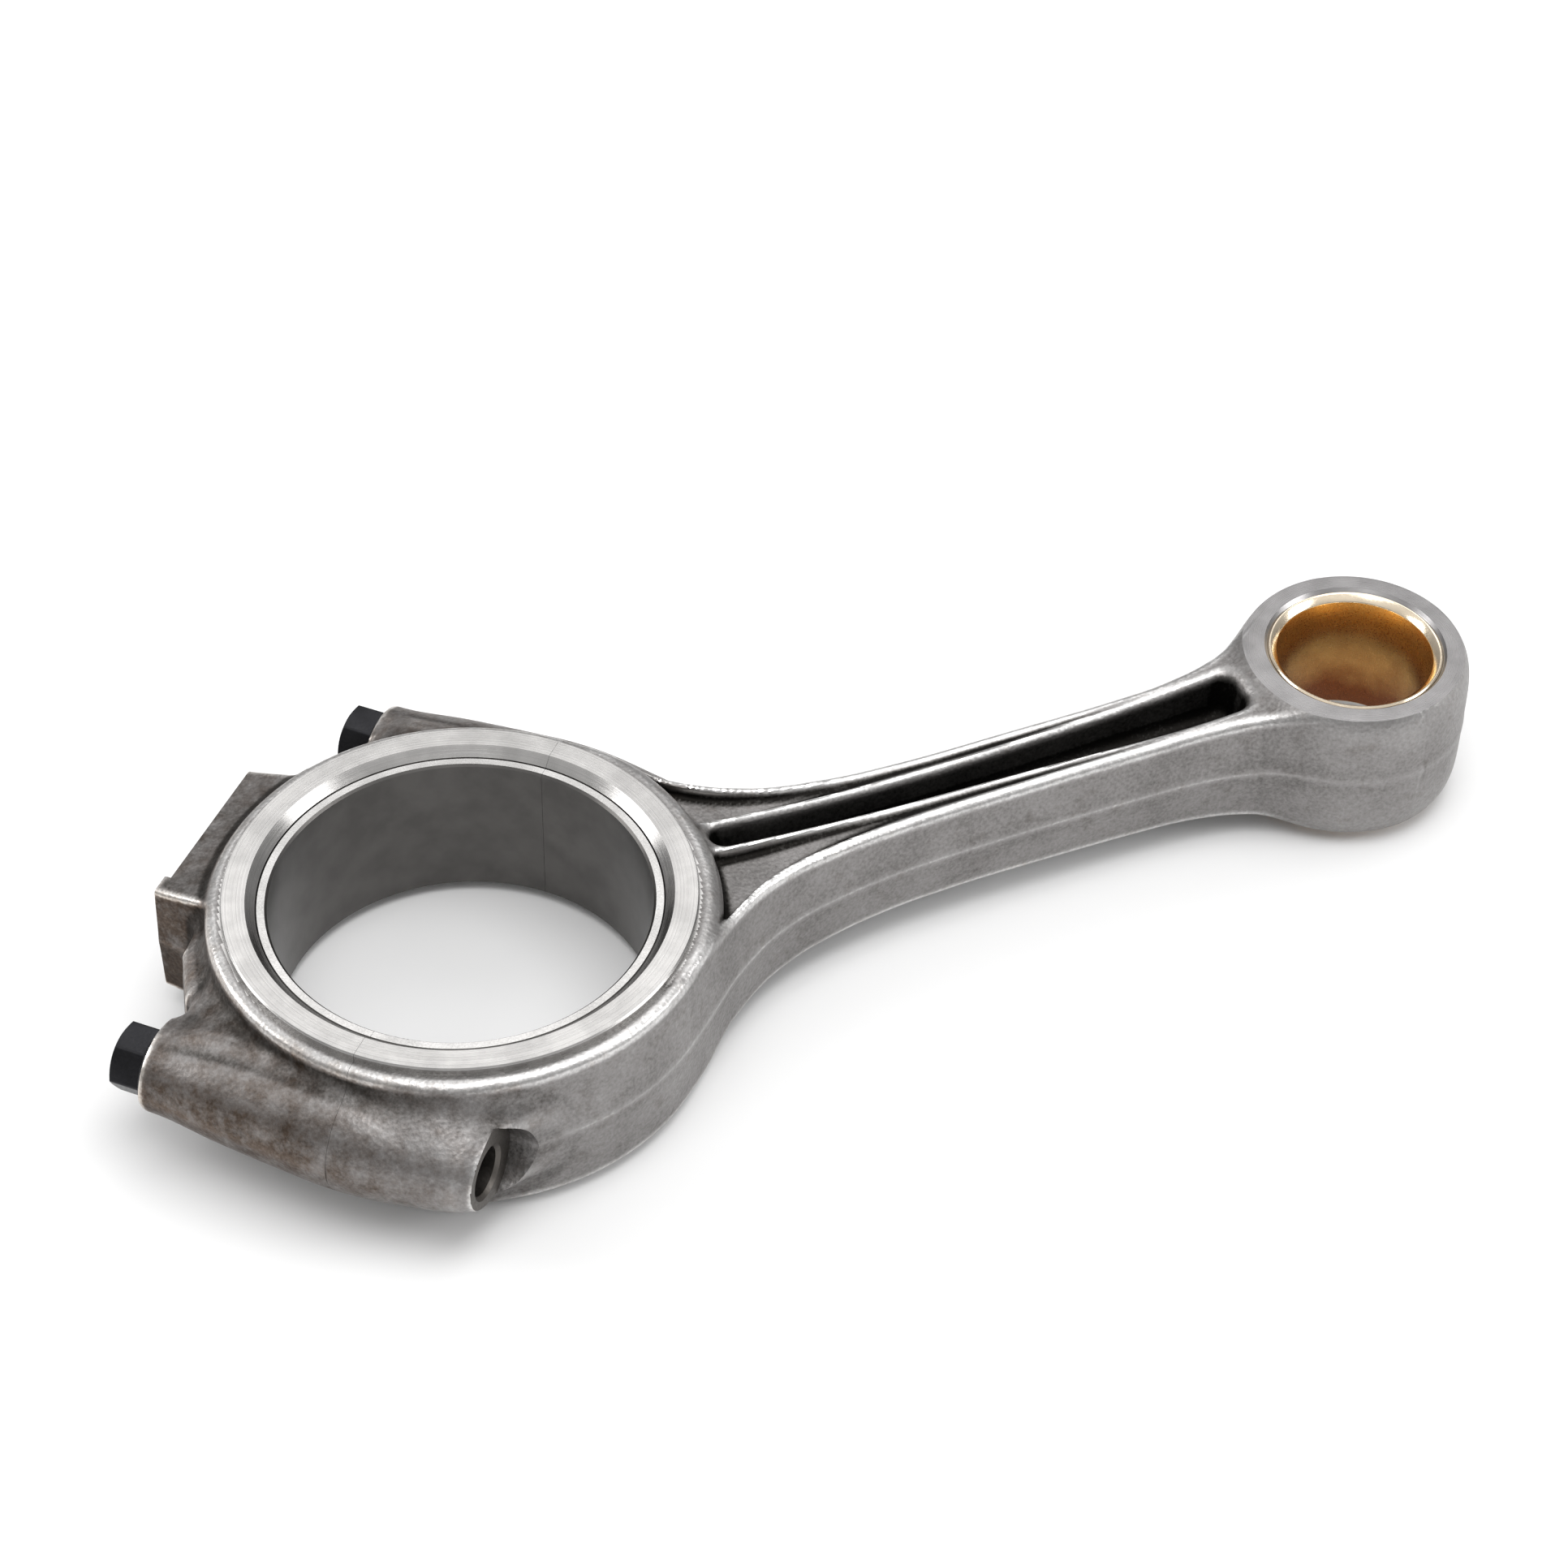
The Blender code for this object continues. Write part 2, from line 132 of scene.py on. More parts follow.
def taper(value, places, sizes):
    """A size that changes smoothly along the object, through the given places."""
    places, sizes = np.array(places), np.array(sizes)
    slopes = np.gradient(sizes, places)
    slopes[0] = 0.0
    slopes[-1] = 0.0
    value = np.clip(value, places[0], places[-1])
    i = np.clip(np.searchsorted(places, value) - 1, 0, len(places) - 2)
    span = places[i + 1] - places[i]
    t = (value - places[i]) / span
    ends = sizes[i] * (1.0 + 2.0 * t) * (1.0 - t) ** 2 + sizes[i + 1] * t * t * (3.0 - 2.0 * t)
    return ends + span * t * (1.0 - t) * (slopes[i] * (1.0 - t) - slopes[i + 1] * t)


def to_split(x, y):
    """Distance ahead of the split, and distance across to the near side."""
    return x * SPLIT_COS + y * SPLIT_SIN, -x * SPLIT_SIN + y * SPLIT_COS


def ring(x, y, z):
    side = np.hypot(x, y) - (RING_R - 0.06 * np.abs(z))
    return smooth_max(side, np.abs(z) - LEDGE_Z, 2.2)


def flash(z):
    """The trimmed flash of the forging dies: a low ridge at mid-width."""
    return 0.13 * np.exp(-(z / 1.9) ** 2)


def boss(x, y, z, side, start, end):
    """The round boss along one bolt, widest at the split."""
    n, across = to_split(x, y)
    radius = taper(n, (-30.0, -25.0, -16.0, -4.0, 3.0, 10.0, 26.0, 42.0),
                   (7.8, 9.4, 11.0, 12.4, 12.5, 12.1, 10.9, 9.3))
    round_part = np.hypot(across - SIDES[side] * BOLT_OFFSET, z) - radius
    return smooth_max(round_part, np.maximum(n - end, start - n), 1.6)


def crest(x):
    """Half the shank's height along the rod."""
    return taper(x, (10.0, 45.0, 52.0, 60.0, 70.0, 80.0, 90.0, 140.0, 150.0, 160.0, 170.0, 180.0, 200.0),
                 (16.2, 15.8, 15.3, 14.5, 13.6, 12.95, 12.5, 12.5, 12.6, 12.9, 13.6, 14.6, 15.0))


def flank(x, y):
    """Half the shank's width along the rod: it widens into both ends, more on the near side."""
    neck_x = (125.0, 150.0, 164.0, 174.0, 184.0, 196.0, 206.0)
    neck_y = (9.5, 9.5, 9.9, 11.3, 14.4, 19.0, 20.5)
    near = taper(x, (20.0, 35.0, 43.0, 50.7, 59.6, 68.3, 79.0, 91.0, 105.0, *neck_x),
                 (36.0, 35.0, 30.6, 24.8, 18.8, 15.1, 12.5, 10.8, 9.9, *neck_y))
    far = taper(x, (20.0, 35.0, 43.0, 50.7, 58.0, 69.0, 84.0, 100.0, *neck_x),
                (34.0, 33.0, 28.6, 22.0, 17.2, 12.8, 10.4, 9.6, *neck_y))
    return np.where(y < 0.0, near, far)


def shank(x, y, z):
    """The shank without its pockets, with the draft of the dies on its sides."""
    width = flank(x, y)
    slope = flank(x + 0.5, y) - flank(x - 0.5, y)
    plan = (np.abs(y) - width) / np.sqrt(1.0 + slope * slope)
    plan = np.maximum(plan, np.maximum(15.0 - x, x - 206.0))
    side = plan + 0.085 * np.abs(z) - 0.45
    return smooth_max(side, np.abs(z) - crest(x), 2.0)


def pocket(x, y, z):
    """The deep pocket of the I section, on both faces."""
    width = taper(x, (50.0, 115.0, 177.5), (2.0, 2.6, 4.6))
    nose = np.hypot(np.minimum(x - 57.5, 0.0), y)
    tail = smooth_max(np.abs(y), x - 172.5, 4.0)
    plan = np.where(x < 115.0, nose, tail) - width
    walls = plan - 0.10 * (np.abs(z) - WEB_Z)
    return smooth_max(walls, WEB_Z - np.abs(z), 2.6)


def hollows(x, y, z):
    """The shallow channels beside the pocket, deeper where the shank widens into the big end."""
    inner = taper(x, (50.0, 115.0, 177.5), (4.6, 5.1, 7.1)) - np.abs(y)
    outer = np.abs(y) - flank(x, y) + 2.9
    ends = np.maximum(53.2 - np.hypot(x, y), x - 167.0)
    plan = smooth_max(smooth_max(inner, outer, 1.2), ends, 1.5)
    depth = taper(x, (50.0, 60.0, 75.0, 95.0, 150.0, 166.0), (3.4, 3.2, 1.9, 0.9, 0.6, -0.6))
    return smooth_max(plan, crest(x) - depth - np.abs(z), 1.4)


def eye(x, y, z):
    crown = EYE_R - (EYE_R - EYE_FACE_R) * np.minimum(np.abs(z) / SMALL_HALF_WIDTH, 1.05) ** 6
    side = 0.9 * (np.hypot(x - CENTRES, y) - crown)
    return np.maximum(side, np.abs(z) - SMALL_HALF_WIDTH - 0.6)


def shoulder(n, across, z, side):
    """The level ground between the ring and one bolt boss, falling towards both of its ends."""
    away = SIDES[side] * across
    plan = polygon(n, away, [(-14.0, 40.0), (-8.0, 49.0), (2.0, 50.5), (42.0, 50.5),
                             (42.5, 44.5), (37.0, 33.0), (2.0, 30.0), (-14.0, 32.0)])
    height = taper(n, (-16.0, 0.0, 20.0, 34.0, 43.0), (6.0, 12.2, 12.4, 11.6, 8.6))
    height = height + 0.10 * np.maximum(46.0 - away, -3.0)
    return smooth_max(plan, 0.97 * (np.abs(z) - height), 3.0)


def rod_forging(x, y, z):
    """The rod before machining; it runs 2 mm past the split, where the joint face is cut."""
    body = smooth_min(ring(x, y, z), shank(x, y, z), 4.0)
    body = smooth_min(body, eye(x, y, z), 5.0)
    body = smooth_min(body, boss(x, y, z, "far", BLIND_END_N - 6.5, 20.0), 5.0)
    body = body - flash(z)
    body = smooth_max(body, -pocket(x, y, z), 1.8)
    body = smooth_max(body, -hollows(x, y, z), 1.0)
    n, across = to_split(x, y)
    for side in SIDES:
        body = smooth_min(body, shoulder(n, across, z, side), 3.5)
    blend = taper(n, (-24.0, -3.0), (11.0, 3.0))
    body = smooth_min(body, boss(x, y, z, "near", BOSS_END_N - 0.8, 20.0), blend)
    return np.maximum(body, n - 2.0)


def cap_forging(x, y, z):
    """The cap before machining: an arched back with the weight pad, and the two bolt bosses."""
    n, across = to_split(x, y)
    arch = polygon(n, across, [(30.0, -46.0), (44.0, -38.0), (50.5, -27.0),
                               (50.5, 27.0), (44.0, 38.0), (30.0, 46.0)])
    arch = smooth_max(arch + 0.06 * np.abs(z), np.abs(z) - 8.5, 3.0)
    pad = polygon(n, across, [(30.0, -25.5), (48.0, -22.0), (PAD_N + 1.0, -20.3),
                              (PAD_N + 1.0, 19.5), (48.0, 20.5), (30.0, 21.5)])
    pad_height = taper(n, (46.0, 60.0), (15.6, 14.0))
    pad = smooth_max(pad + 0.04 * np.abs(z) - 0.2, np.abs(z) - pad_height, 1.2)
    body = smooth_min(ring(x, y, z), arch, 5.0)
    body = smooth_min(body, pad, 2.0)
    for side in SIDES:
        body = smooth_min(body, shoulder(n, across, z, side), 3.5)
        body = smooth_min(body, boss(x, y, z, side, -20.0, SEAT_N + 0.8), 3.0)
    return np.maximum(body - flash(z), -n - 2.0)


# ---------------------------------------------------------------- meshing

def linked(name, data):
    obj = bpy.data.objects.new(name, data)
    bpy.context.scene.collection.objects.link(obj)
    return obj


def object_from(name, points, faces):
    mesh = bpy.data.meshes.new(name)
    size = faces.shape[1]
    mesh.vertices.add(len(points))
    mesh.vertices.foreach_set("co", points.astype(np.float32).ravel())
    mesh.loops.add(faces.size)
    mesh.loops.foreach_set("vertex_index", faces.astype(np.int32).ravel())
    mesh.polygons.add(len(faces))
    mesh.polygons.foreach_set("loop_start", np.arange(0, faces.size, size, dtype=np.int32))
    mesh.update(calc_edges=True)
    mesh.validate()
    return linked(name, mesh)


def mesh_solid(name, solid, low, high):
    """Meshes a distance function: one point in each grid cell that the surface crosses."""
    axes = [np.arange(a, b + VOXEL, VOXEL) + 0.137 for a, b in zip(low, high)]
    field = solid(axes[0][:, None, None], axes[1][None, :, None], axes[2][None, None, :])
    inside = field < 0.0
    shape = tuple(n - 1 for n in inside.shape)
    total = np.zeros(shape + (3,))
    crossings = np.zeros(shape, dtype=np.int32)
    for axis in range(3):
        others = [a for a in range(3) if a != axis]
        lower = tuple(slice(0, -1) if a == axis else slice(None) for a in range(3))
        upper = tuple(slice(1, None) if a == axis else slice(None) for a in range(3))
        f0, f1 = field[lower], field[upper]
        cross = inside[lower] != inside[upper]
        part = np.where(cross, f0 / np.where(cross, f0 - f1, 1.0), 0.0)
        for shift in ((0, 0), (0, 1), (1, 0), (1, 1)):
            window = [slice(None)] * 3
            for a, s in zip(others, shift):
                window[a] = slice(s, s + shape[a])
            window = tuple(window)
            hit = cross[window]
            crossings += hit
            total[..., axis] += np.where(hit, part[window], 0.0)
            for a, s in zip(others, shift):
                total[..., a] += np.where(hit, float(s), 0.0)
    cells = crossings > 0
    index = np.full(shape, -1, dtype=np.int64)
    index[cells] = np.arange(int(cells.sum()))
    place = np.argwhere(cells)
    local = total[cells] / crossings[cells][:, None]
    points = np.stack([axes[a][place[:, a]] + local[:, a] * VOXEL for a in range(3)], axis=1)
    faces = []
    for axis in range(3):
        b, c = [(1, 2), (2, 0), (0, 1)][axis]
        lower = tuple(slice(0, -1) if a == axis else slice(1, -1) for a in range(3))
        upper = tuple(slice(1, None) if a == axis else slice(1, -1) for a in range(3))
        start, stop = inside[lower], inside[upper]
        for flag, flip in ((start & ~stop, False), (~start & stop, True)):
            at = np.argwhere(flag)
            for a in range(3):
                if a != axis:
                    at[:, a] += 1
            corners = []
            for db, dc in ((1, 1), (0, 1), (0, 0), (1, 0)):
                cell = at.copy()
                cell[:, b] -= db
                cell[:, c] -= dc
                corners.append(index[cell[:, 0], cell[:, 1], cell[:, 2]])
            quad = np.stack(corners, axis=1)
            faces.append(quad[:, ::-1] if flip else quad)
    faces = np.concatenate(faces)
    for _ in range(3):
        points = onto_surface(points, solid)
    return object_from(name, points, faces)


def either_side(points, solid, step):
    """The distance a step ahead of and a step behind the points, along each axis in turn."""
    for axis in range(3):
        ahead = points.copy()
        behind = points.copy()
        ahead[:, axis] += step
        behind[:, axis] -= step
        yield axis, solid(*ahead.T), solid(*behind.T)


def onto_surface(points, solid):
    """Moves points along the distance's slope until they lie on the surface."""
    step = 0.05
    value = solid(points[:, 0], points[:, 1], points[:, 2])
    slope = np.zeros_like(points)
    for axis, front, back in either_side(points, solid, step):
        slope[:, axis] = (front - back) / (2 * step)
    length = np.maximum((slope ** 2).sum(axis=1), 0.2)
    move = -value[:, None] * slope / length[:, None]
    reach = 0.35 * VOXEL
    return points + np.clip(move, -reach, reach)


# ---------------------------------------------------------------- turned pieces and cutters

def turned(name, profile, steps=128, matrix=None, closed=False):
    """A profile of (radius, height) points, top to bottom, turned about Z."""
    mesh = bpy.data.meshes.new(name)
    edges = [(i, i + 1) for i in range(len(profile) - 1)]
    if closed:
        edges.append((len(profile) - 1, 0))
    mesh.from_pydata([(radius, 0.0, height) for radius, height in profile], edges, [])
    obj = linked(name, mesh)
    screw = obj.modifiers.new("turn", "SCREW")
    screw.steps = steps
    screw.render_steps = steps
    screw.use_merge_vertices = True
    screw.merge_threshold = 0.0001
    screw.use_smooth_shade = False
    return baked(obj, matrix)


def box(name, low, high, matrix=None):
    mesh = bpy.data.meshes.new(name)
    bm = bmesh.new()
    bmesh.ops.create_cube(bm, size=1.0)
    size = Vector(high) - Vector(low)
    middle = (Vector(high) + Vector(low)) / 2
    place = Matrix.Translation(middle) @ Matrix.Diagonal((*size, 1.0))
    bmesh.ops.transform(bm, matrix=(matrix or Matrix()) @ place, verts=bm.verts)
    bm.to_mesh(mesh)
    bm.free()
    return linked(name, mesh)


def baked(obj, matrix=None):
    """The object with its modifiers worked out, moved by matrix."""
    depsgraph = bpy.context.evaluated_depsgraph_get()
    mesh = bpy.data.meshes.new_from_object(obj.evaluated_get(depsgraph))
    if matrix is not None:
        mesh.transform(matrix)
    obj.modifiers.clear()
    obj.data = mesh
    return obj


def combine(obj, tool, operation):
    """Joins the tool to obj or cuts obj with it, and removes the tool."""
    step = obj.modifiers.new("combine", "BOOLEAN")
    step.operation = operation
    step.object = tool
    step.solver = "MANIFOLD"
    baked(obj)
    bpy.data.objects.remove(tool)


def along_bolt(side, n=0.0):
    """The frame of one bolt: its Z points out of the cap, its origin n ahead of the split."""
    place = Matrix.Translation((n, SIDES[side] * BOLT_OFFSET, 0.0))
    return TO_SPLIT @ place @ Matrix.Rotation(math.radians(90), 4, "Y")


def mirrored(upper):
    """A turned profile that is the same below mid-width as above."""
    return upper + [(r, -z) for r, z in reversed(upper)]


def bore_cutter(radius, half_width, chamfer, steps, centre=0.0):
    outside = 3.0
    upper = [(0.0, half_width + outside), (radius + chamfer + outside, half_width + outside),
             (radius, half_width - chamfer)]
    return turned("bore", mirrored(upper), steps, Matrix.Translation((centre, 0.0, 0.0)))


def bolt_hole(side):
    """One bolt's hole with its spot faces and the dowel sleeve's counterbore, as one cutter."""
    end = SLEEVE_HALF + 0.3
    profile = [(0.0, CUT), (SEAT_R, CUT), (SEAT_R, SEAT_N), (HOLE_R + 0.5, SEAT_N), (HOLE_R, SEAT_N - 0.5),
               (HOLE_R, end), (SLEEVE_HOLE_R, end), (SLEEVE_HOLE_R, -end), (HOLE_R, -end)]
    if side == "near":
        profile += [(HOLE_R, BOSS_END_N + 0.8), (HOLE_R + 0.8, BOSS_END_N), (BOSS_FACE_R, BOSS_END_N),
                    (BOSS_FACE_R, -CUT), (0.0, -CUT)]
    else:
        profile += [(HOLE_R, BLIND_END_N), (0.0, BLIND_END_N - 3.0)]
    return turned(side + "_hole", profile, 48, along_bolt(side))


def thrust_ring():
    """The raised faces at the sides of the big end, machined as one with the bore."""
    upper = [(0.0, HALF_WIDTH), (THRUST_R - 0.35, HALF_WIDTH), (THRUST_R, HALF_WIDTH - 0.35),
             (THRUST_R, HALF_WIDTH - 2.6), (THRUST_R - 2.0, HALF_WIDTH - 4.0)]
    return turned("thrust_ring", mirrored(upper), 192)


def cut_at_split(obj, rod_side):
    """Keeps only the rod's side of the split, or only the cap's."""
    if rod_side:
        cut = box("split", (-JOINT_GAP, -CUT, -CUT), (CUT, CUT, CUT), TO_SPLIT)
    else:
        cut = box("split", (-CUT, -CUT, -CUT), (JOINT_GAP, CUT, CUT), TO_SPLIT)
    combine(obj, cut, "DIFFERENCE")


def machine(obj, rod_side):
    """Cuts everything that the two halves of the big end have machined together."""
    combine(obj, thrust_ring(), "UNION")
    for start, stop, half in ((-CUT, MIDDLE_X, HALF_WIDTH), (MIDDLE_X, 2 * CUT, SMALL_HALF_WIDTH)):
        combine(obj, box("upper_face", (start, -CUT, half), (stop, CUT, 2 * half)), "DIFFERENCE")
        combine(obj, box("lower_face", (start, -CUT, -2 * half), (stop, CUT, -half)), "DIFFERENCE")
    cut_at_split(obj, rod_side)
    combine(obj, bore_cutter(HOUSING_R, HALF_WIDTH, BORE_CHAMFER, 192), "DIFFERENCE")
    for side in SIDES:
        combine(obj, bolt_hole(side), "DIFFERENCE")


def place(obj):
    """From millimetres round the big end's centre to metres in the shared frame."""
    obj.data.transform(TO_WORLD)
    obj.data.update()


# ---------------------------------------------------------------- materials

def new_material(name, colour, metallic, roughness):
    mat = bpy.data.materials.new(name)
    mat.use_nodes = True
    shader = mat.node_tree.nodes["Principled BSDF"]
    shader.inputs["Base Color"].default_value = (*colour, 1.0)
    shader.inputs["Metallic"].default_value = metallic
    shader.inputs["Roughness"].default_value = roughness
    return mat, mat.node_tree, shader


def add_node(tree, kind, inputs=(), **settings):
    node = tree.nodes.new(kind)
    for key, value in settings.items():
        setattr(node, key, value)
    for key, value in dict(inputs).items():
        node.inputs[key].default_value = value
    return node


def noise(tree, coordinates, scale, detail=3.0, roughness=0.5):
    node = add_node(tree, "ShaderNodeTexNoise", {"Scale": scale, "Detail": detail, "Roughness": roughness})
    tree.links.new(coordinates, node.inputs["Vector"])
    return node.outputs["Fac"]


def ramp(tree, value, stops):
    node = tree.nodes.new("ShaderNodeValToRGB")
    elements = node.color_ramp.elements
    while len(elements) < len(stops):
        elements.new(0.5)
    for element, (position, colour) in zip(elements, stops):
        element.position = position
        element.color = (*colour, 1.0)
    tree.links.new(value, node.inputs["Fac"])
    return node.outputs["Color"]


def spread(tree, value, low, high, from_low=0.3, from_high=0.7):
    """Stretches a value, by default the usual run of a noise, to go from low to high."""
    node = add_node(tree, "ShaderNodeMapRange",
                    {"From Min": from_low, "From Max": from_high, "To Min": low, "To Max": high})
    tree.links.new(value, node.inputs["Value"])
    return node.outputs["Result"]


def bump(tree, shader, layers):
    """Chains bumps of (height socket, strength, distance in metres)."""
    previous = None
    for height, strength, distance in layers:
        node = add_node(tree, "ShaderNodeBump", {"Strength": strength, "Distance": distance})
        tree.links.new(height, node.inputs["Height"])
        if previous is not None:
            tree.links.new(previous, node.inputs["Normal"])
        previous = node.outputs["Normal"]
    tree.links.new(previous, shader.inputs["Normal"])


def forged_steel(name, clean, scaled, grain):
    """Forging skin: dimpled, with painted shade darkening its corners and the pocket, and ridges painted
    bright, partly as rubbing and partly as painted highlight.

    clean is the shot-blasted steel and scaled the browner skin around the bolts and the weight
    pad, each as five shades from the painted shade of the deepest corner to the bright ridge,
    which is partly rubbing and partly painted highlight.
    """
    mat, tree, shader = new_material(name, clean[2], 1.0, 0.45)
    where = tree.nodes.new("ShaderNodeTexCoord").outputs["Object"]
    patches = noise(tree, where, 70.0, 4.0, 0.6)
    speckle = noise(tree, where, 1300.0, 2.0, 0.6)
    blotches = noise(tree, where, 210.0, 4.0, 0.7)
    # per point: rubbing and painted highlight on ridges, painted shade in corners, the pocket and the
    # hollows
    wear_and_painted_light = add_node(tree, "ShaderNodeAttribute", attribute_name="wear_and_painted_light").outputs["Fac"]
    scale = add_node(tree, "ShaderNodeAttribute", attribute_name="scale").outputs["Fac"]
    total = None
    for part, weight in ((patches, 0.24), (speckle, 0.26), (wear_and_painted_light, 0.42)):
        term = add_node(tree, "ShaderNodeMath", operation="MULTIPLY_ADD")
        term.inputs[1].default_value = weight
        term.inputs[2].default_value = 0.25
        tree.links.new(part, term.inputs[0])
        if total is not None:
            tree.links.new(total, term.inputs[2])
        total = term.outputs[0]
    # the lowest shades are painted shade and the highest painted highlight
    places = (0.10, 0.34, 0.50, 0.66, 0.88)
    # share of brown skin, which on sideways faces includes painted shade, plus random blotches
    brown_skin_and_side_shade = add_node(tree, "ShaderNodeMath", operation="MULTIPLY_ADD")
    tree.links.new(scale, brown_skin_and_side_shade.inputs[0])
    brown_skin_and_side_shade.inputs[1].default_value = 1.1
    tree.links.new(spread(tree, blotches, -0.50, 0.30), brown_skin_and_side_shade.inputs[2])
    mixed = add_node(tree, "ShaderNodeMix", data_type="RGBA", clamp_factor=True)
    tree.links.new(brown_skin_and_side_shade.outputs[0], mixed.inputs["Factor"])
    tree.links.new(ramp(tree, total, list(zip(places, clean))), mixed.inputs[6])
    tree.links.new(ramp(tree, total, list(zip(places, scaled))), mixed.inputs[7])
    tree.links.new(mixed.outputs[2], shader.inputs["Base Color"])
    tree.links.new(spread(tree, total, 0.56, 0.32, 0.35, 0.85), shader.inputs["Roughness"])
    dimples = add_node(tree, "ShaderNodeTexVoronoi", {"Scale": 1000.0})
    tree.links.new(where, dimples.inputs["Vector"])
    bump(tree, shader, [(patches, 0.25, 0.0010), (blotches, 0.30, 0.00035),
                        (dimples.outputs["Distance"], grain, 0.00012), (speckle, grain, 0.00010)])
    return mat


def machined_steel(name, colour, centre, rough):
    """Turned or ground steel, with fine rings about an axis along Z through centre."""
    mat, tree, shader = new_material(name, colour, 1.0, rough)
    where = tree.nodes.new("ShaderNodeTexCoord").outputs["Object"]
    offset = add_node(tree, "ShaderNodeVectorMath", operation="SUBTRACT")
    offset.inputs[1].default_value = centre
    flat = add_node(tree, "ShaderNodeVectorMath", operation="MULTIPLY")
    flat.inputs[1].default_value = (1.0, 1.0, 0.0)
    length = add_node(tree, "ShaderNodeVectorMath", operation="LENGTH")
    tree.links.new(where, offset.inputs[0])
    tree.links.new(offset.outputs["Vector"], flat.inputs[0])
    tree.links.new(flat.outputs["Vector"], length.inputs[0])
    rings = add_node(tree, "ShaderNodeTexNoise", {"Scale": 5200.0, "Detail": 3.0}, noise_dimensions="1D")
    tree.links.new(length.outputs["Value"], rings.inputs["W"])
    patches = noise(tree, where, 140.0, 3.0)
    shade = ramp(tree, patches, [(0.35, tuple(0.80 * c for c in colour)), (0.65, colour)])
    tree.links.new(shade, shader.inputs["Base Color"])
    marks = rings.outputs["Fac"]
    tree.links.new(spread(tree, marks, rough - 0.05, rough + 0.09), shader.inputs["Roughness"])
    bump(tree, shader, [(marks, 0.35, 0.00004)])
    return mat


def plain_metal(name, colour, rough, grain_scale, grain):
    """A metal with a fine grain that varies its gloss and colour a little."""
    mat, tree, shader = new_material(name, colour, 1.0, rough)
    where = tree.nodes.new("ShaderNodeTexCoord").outputs["Object"]
    fine = noise(tree, where, grain_scale, 3.0)
    broad = noise(tree, where, 120.0, 3.0)
    tree.links.new(ramp(tree, broad, [(0.35, tuple(0.8 * c for c in colour)), (0.65, colour)]),
                   shader.inputs["Base Color"])
    tree.links.new(spread(tree, fine, rough - 0.06, rough + 0.08), shader.inputs["Roughness"])
    bump(tree, shader, [(fine, grain, 0.00005)])
    return mat


def bronze(name, light, dark):
    """Bored bronze, with random stains and painted shade that darkens it towards its lower end."""
    mat, tree, shader = new_material(name, light, 1.0, 0.3)
    where = tree.nodes.new("ShaderNodeTexCoord").outputs["Object"]
    parts = tree.nodes.new("ShaderNodeSeparateXYZ")
    tree.links.new(where, parts.inputs["Vector"])
    # 0 at the big end's lower face and 1 at its upper one
    height = add_node(tree, "ShaderNodeMath", operation="MULTIPLY")
    height.inputs[1].default_value = 1.0 / (2.0 * HALF_WIDTH * MM)
    tree.links.new(parts.outputs["Z"], height.inputs[0])
    # random stains plus painted shade: darker towards the lower end
    stain_and_painted_shade = add_node(tree, "ShaderNodeMath", operation="MULTIPLY_ADD")
    stain_and_painted_shade.inputs[1].default_value = 0.35
    tree.links.new(noise(tree, where, 160.0, 4.0), stain_and_painted_shade.inputs[0])
    tree.links.new(height.outputs[0], stain_and_painted_shade.inputs[2])
    tree.links.new(ramp(tree, stain_and_painted_shade.outputs[0], [(0.40, dark), (1.0, light)]), shader.inputs["Base Color"])
    fine = noise(tree, where, 2600.0, 3.0)
    tree.links.new(spread(tree, fine, 0.24, 0.36), shader.inputs["Roughness"])
    bump(tree, shader, [(fine, 0.3, 0.00005)])
    return mat


# ---------------------------------------------------------------- the pieces

def wear_painted_light_and_skin_of(mesh, solid):
    """Stores each point's rubbing-and-painted-light value and its scale for the forged material.

    The first is 1 on sharp ridges, which are rubbed bright and painted bright as highlight, and -1 deep in
    corners and in the pocket, which is painted shade.
    Scale is the share of brown skin, on the cap and round the bolts; faces that look sideways get twice the
    share of faces that look up, which is painted shade.
    """
    points = np.empty(len(mesh.vertices) * 3)
    mesh.vertices.foreach_get("co", points)
    points = points.reshape(-1, 3)
    step = 0.7
    here = solid(*points.T)
    bend = np.zeros(len(points))
    slope = np.zeros_like(points)
    for axis, front, back in either_side(points, solid, step):
        bend += (front + back - 2.0 * here) / step ** 2
        slope[:, axis] = front - back
    level = np.abs(slope[:, 2]) / np.maximum(np.linalg.norm(slope, axis=1), 1e-6)
    # curvature: ridges painted bright, partly as rubbing and partly as painted highlight; corners painted
    # dark as shade
    bend = np.clip(bend * 1.5, -1.0, 1.0)
    x, y, z = points.T
    in_pocket = np.clip(0.8 - pocket(x, y, z), 0.0, 1.0)
    in_hollow = np.clip(0.4 - hollows(x, y, z), 0.0, 1.0)
    # painted shade in the pocket and the hollows
    painted_recess_shade = in_pocket * 0.9 + in_hollow * 0.16
    wear_and_painted_light = np.clip(bend - painted_recess_shade, -1.0, 1.0)
    n, across = to_split(x, y)
    beyond = np.clip((np.hypot(x, y) - 49.5) / 2.5, 0.0, 1.0)
    # sideways faces get twice the dark skin of upward faces: painted shade on the sides
    scale = beyond * np.clip((n + 45.0) / 55.0, 0.0, 1.0) * (1.0 - 0.5 * level)
    for name, values in (("wear_and_painted_light", wear_and_painted_light), ("scale", scale)):
        mesh.attributes.new(name, "FLOAT", "POINT").data.foreach_set("value", values.astype(np.float32))


